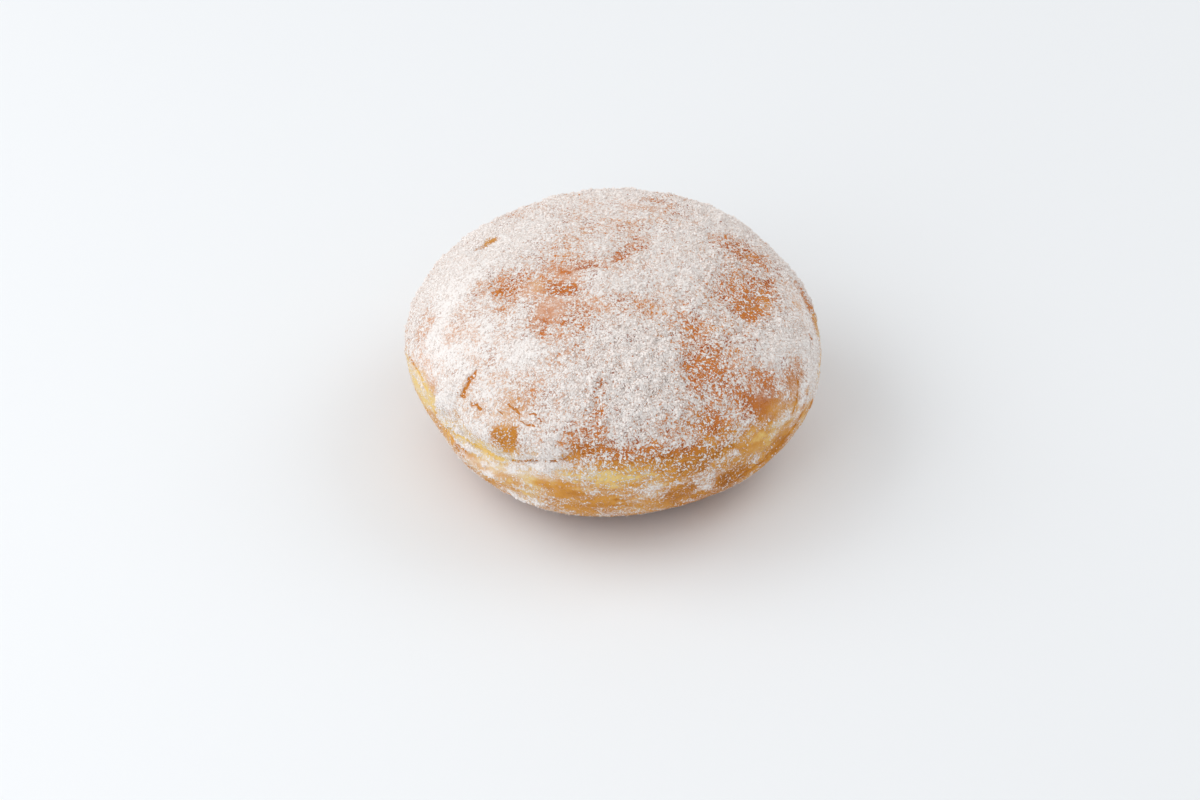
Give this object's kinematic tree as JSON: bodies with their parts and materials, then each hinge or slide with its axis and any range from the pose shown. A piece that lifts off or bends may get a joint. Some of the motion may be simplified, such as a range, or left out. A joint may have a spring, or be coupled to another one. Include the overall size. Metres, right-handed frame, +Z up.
{
  "type": "fried bean bun",
  "caption": "Plump round fried bun with a domed top, a soft fold along its side and a dusting of fine sugar, to serve as a sweet snack.",
  "frame": {"origin": "middle of the bun's footprint, on the surface that it rests on", "axes": "+Z up through the crown, -Y towards the side with the folds, +X to the right of that side"},
  "size_m": [0.088, 0.085, 0.046],
  "materials": {
    "crust": "matte browned dough with a pale waist, under a veil of fine sugar",
    "sugar": "matte white powder and fine grains"
  },
  "bodies": {
    "root": {"bun": "crust"}
  },
  "joints": []
}
